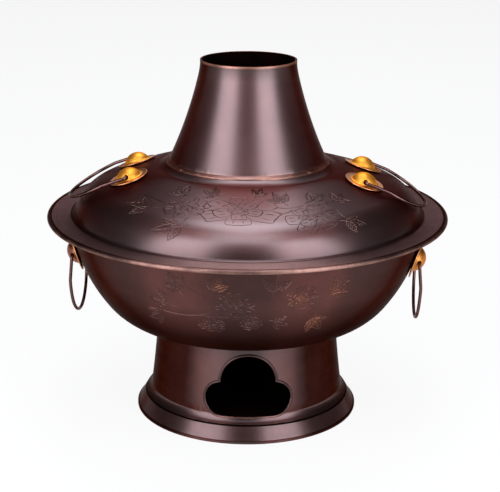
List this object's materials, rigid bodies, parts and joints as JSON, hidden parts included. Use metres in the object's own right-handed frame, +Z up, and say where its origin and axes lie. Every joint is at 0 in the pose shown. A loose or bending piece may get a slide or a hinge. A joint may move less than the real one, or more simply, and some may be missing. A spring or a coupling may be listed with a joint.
{
  "type": "chimney hot pot",
  "caption": "Charcoal hot pot: pedestal with a cloud-shaped draught window, ring trough round a fire tube, lift-off lid with bail handles and a loose chimney cone.",
  "frame": {"origin": "on the table, below the middle of the pot", "axes": "+Z up along the pot's axis and out of the chimney's mouth; the draught window faces -Y, 4.1 degrees towards +X; the lid's and the bowl's handles lie at +X and -X"},
  "size_m": [0.32, 0.32, 0.2866],
  "materials": {
    "bronzed_copper": "dark antique-bronzed copper, satin",
    "plain_copper": "bare copper, dull",
    "bail_wire": "bronzed wire, satin",
    "polished_brass": "polished golden brass",
    "cast_iron": "raw cast iron"
  },
  "bodies": {
    "pot": {"pedestal": "bronzed_copper", "ash_plate": "plain_copper", "bowl": "bronzed_copper", "fire_tube": "plain_copper", "side_boss_left_front": "polished_brass", "side_boss_left_rear": "polished_brass", "side_boss_right_front": "polished_brass", "side_boss_right_rear": "polished_brass", "side_rivets": "plain_copper", "side_washers": "plain_copper"},
    "grate": {"grate": "cast_iron"},
    "lid": {"lid": "bronzed_copper", "lid_boss_left_front": "polished_brass", "lid_boss_left_rear": "polished_brass", "lid_boss_right_front": "polished_brass", "lid_boss_right_rear": "polished_brass", "lid_rivets": "plain_copper", "lid_washers": "plain_copper"},
    "chimney": {"chimney": "bronzed_copper"},
    "lid_bail_left": {"lid_bail_left": "bail_wire"},
    "lid_bail_right": {"lid_bail_right": "bail_wire"},
    "side_bail_left": {"side_bail_left": "bail_wire"},
    "side_bail_right": {"side_bail_right": "bail_wire"}
  },
  "joints": [
    {"name": "lid_lift", "type": "slide", "parent": "pot", "child": "lid", "axis": [0, 0, 1], "range_m": [0, 0.12]},
    {"name": "chimney_lift", "type": "slide", "parent": "lid", "child": "chimney", "axis": [0, 0, 1], "range_m": [0, 0.1]},
    {"name": "grate_lift", "type": "slide", "parent": "pot", "child": "grate", "axis": [0, 0, 1], "range_m": [0, 0.11]},
    {"name": "lid_bail_left_swing", "type": "hinge", "parent": "lid", "child": "lid_bail_left", "pos_m": [-0.09289, 0, 0.19834], "axis": [0, 1, 0], "range_deg": [-2.2, 125]},
    {"name": "lid_bail_right_swing", "type": "hinge", "parent": "lid", "child": "lid_bail_right", "pos_m": [0.09289, 0, 0.19834], "axis": [0, -1, 0], "range_deg": [0, 125]},
    {"name": "side_bail_left_swing", "type": "hinge", "parent": "pot", "child": "side_bail_left", "pos_m": [-0.13684, 0, 0.13406], "axis": [0, 1, 0], "range_deg": [-22, 125]},
    {"name": "side_bail_right_swing", "type": "hinge", "parent": "pot", "child": "side_bail_right", "pos_m": [0.13684, 0, 0.13406], "axis": [0, -1, 0], "range_deg": [-22, 125]}
  ]
}
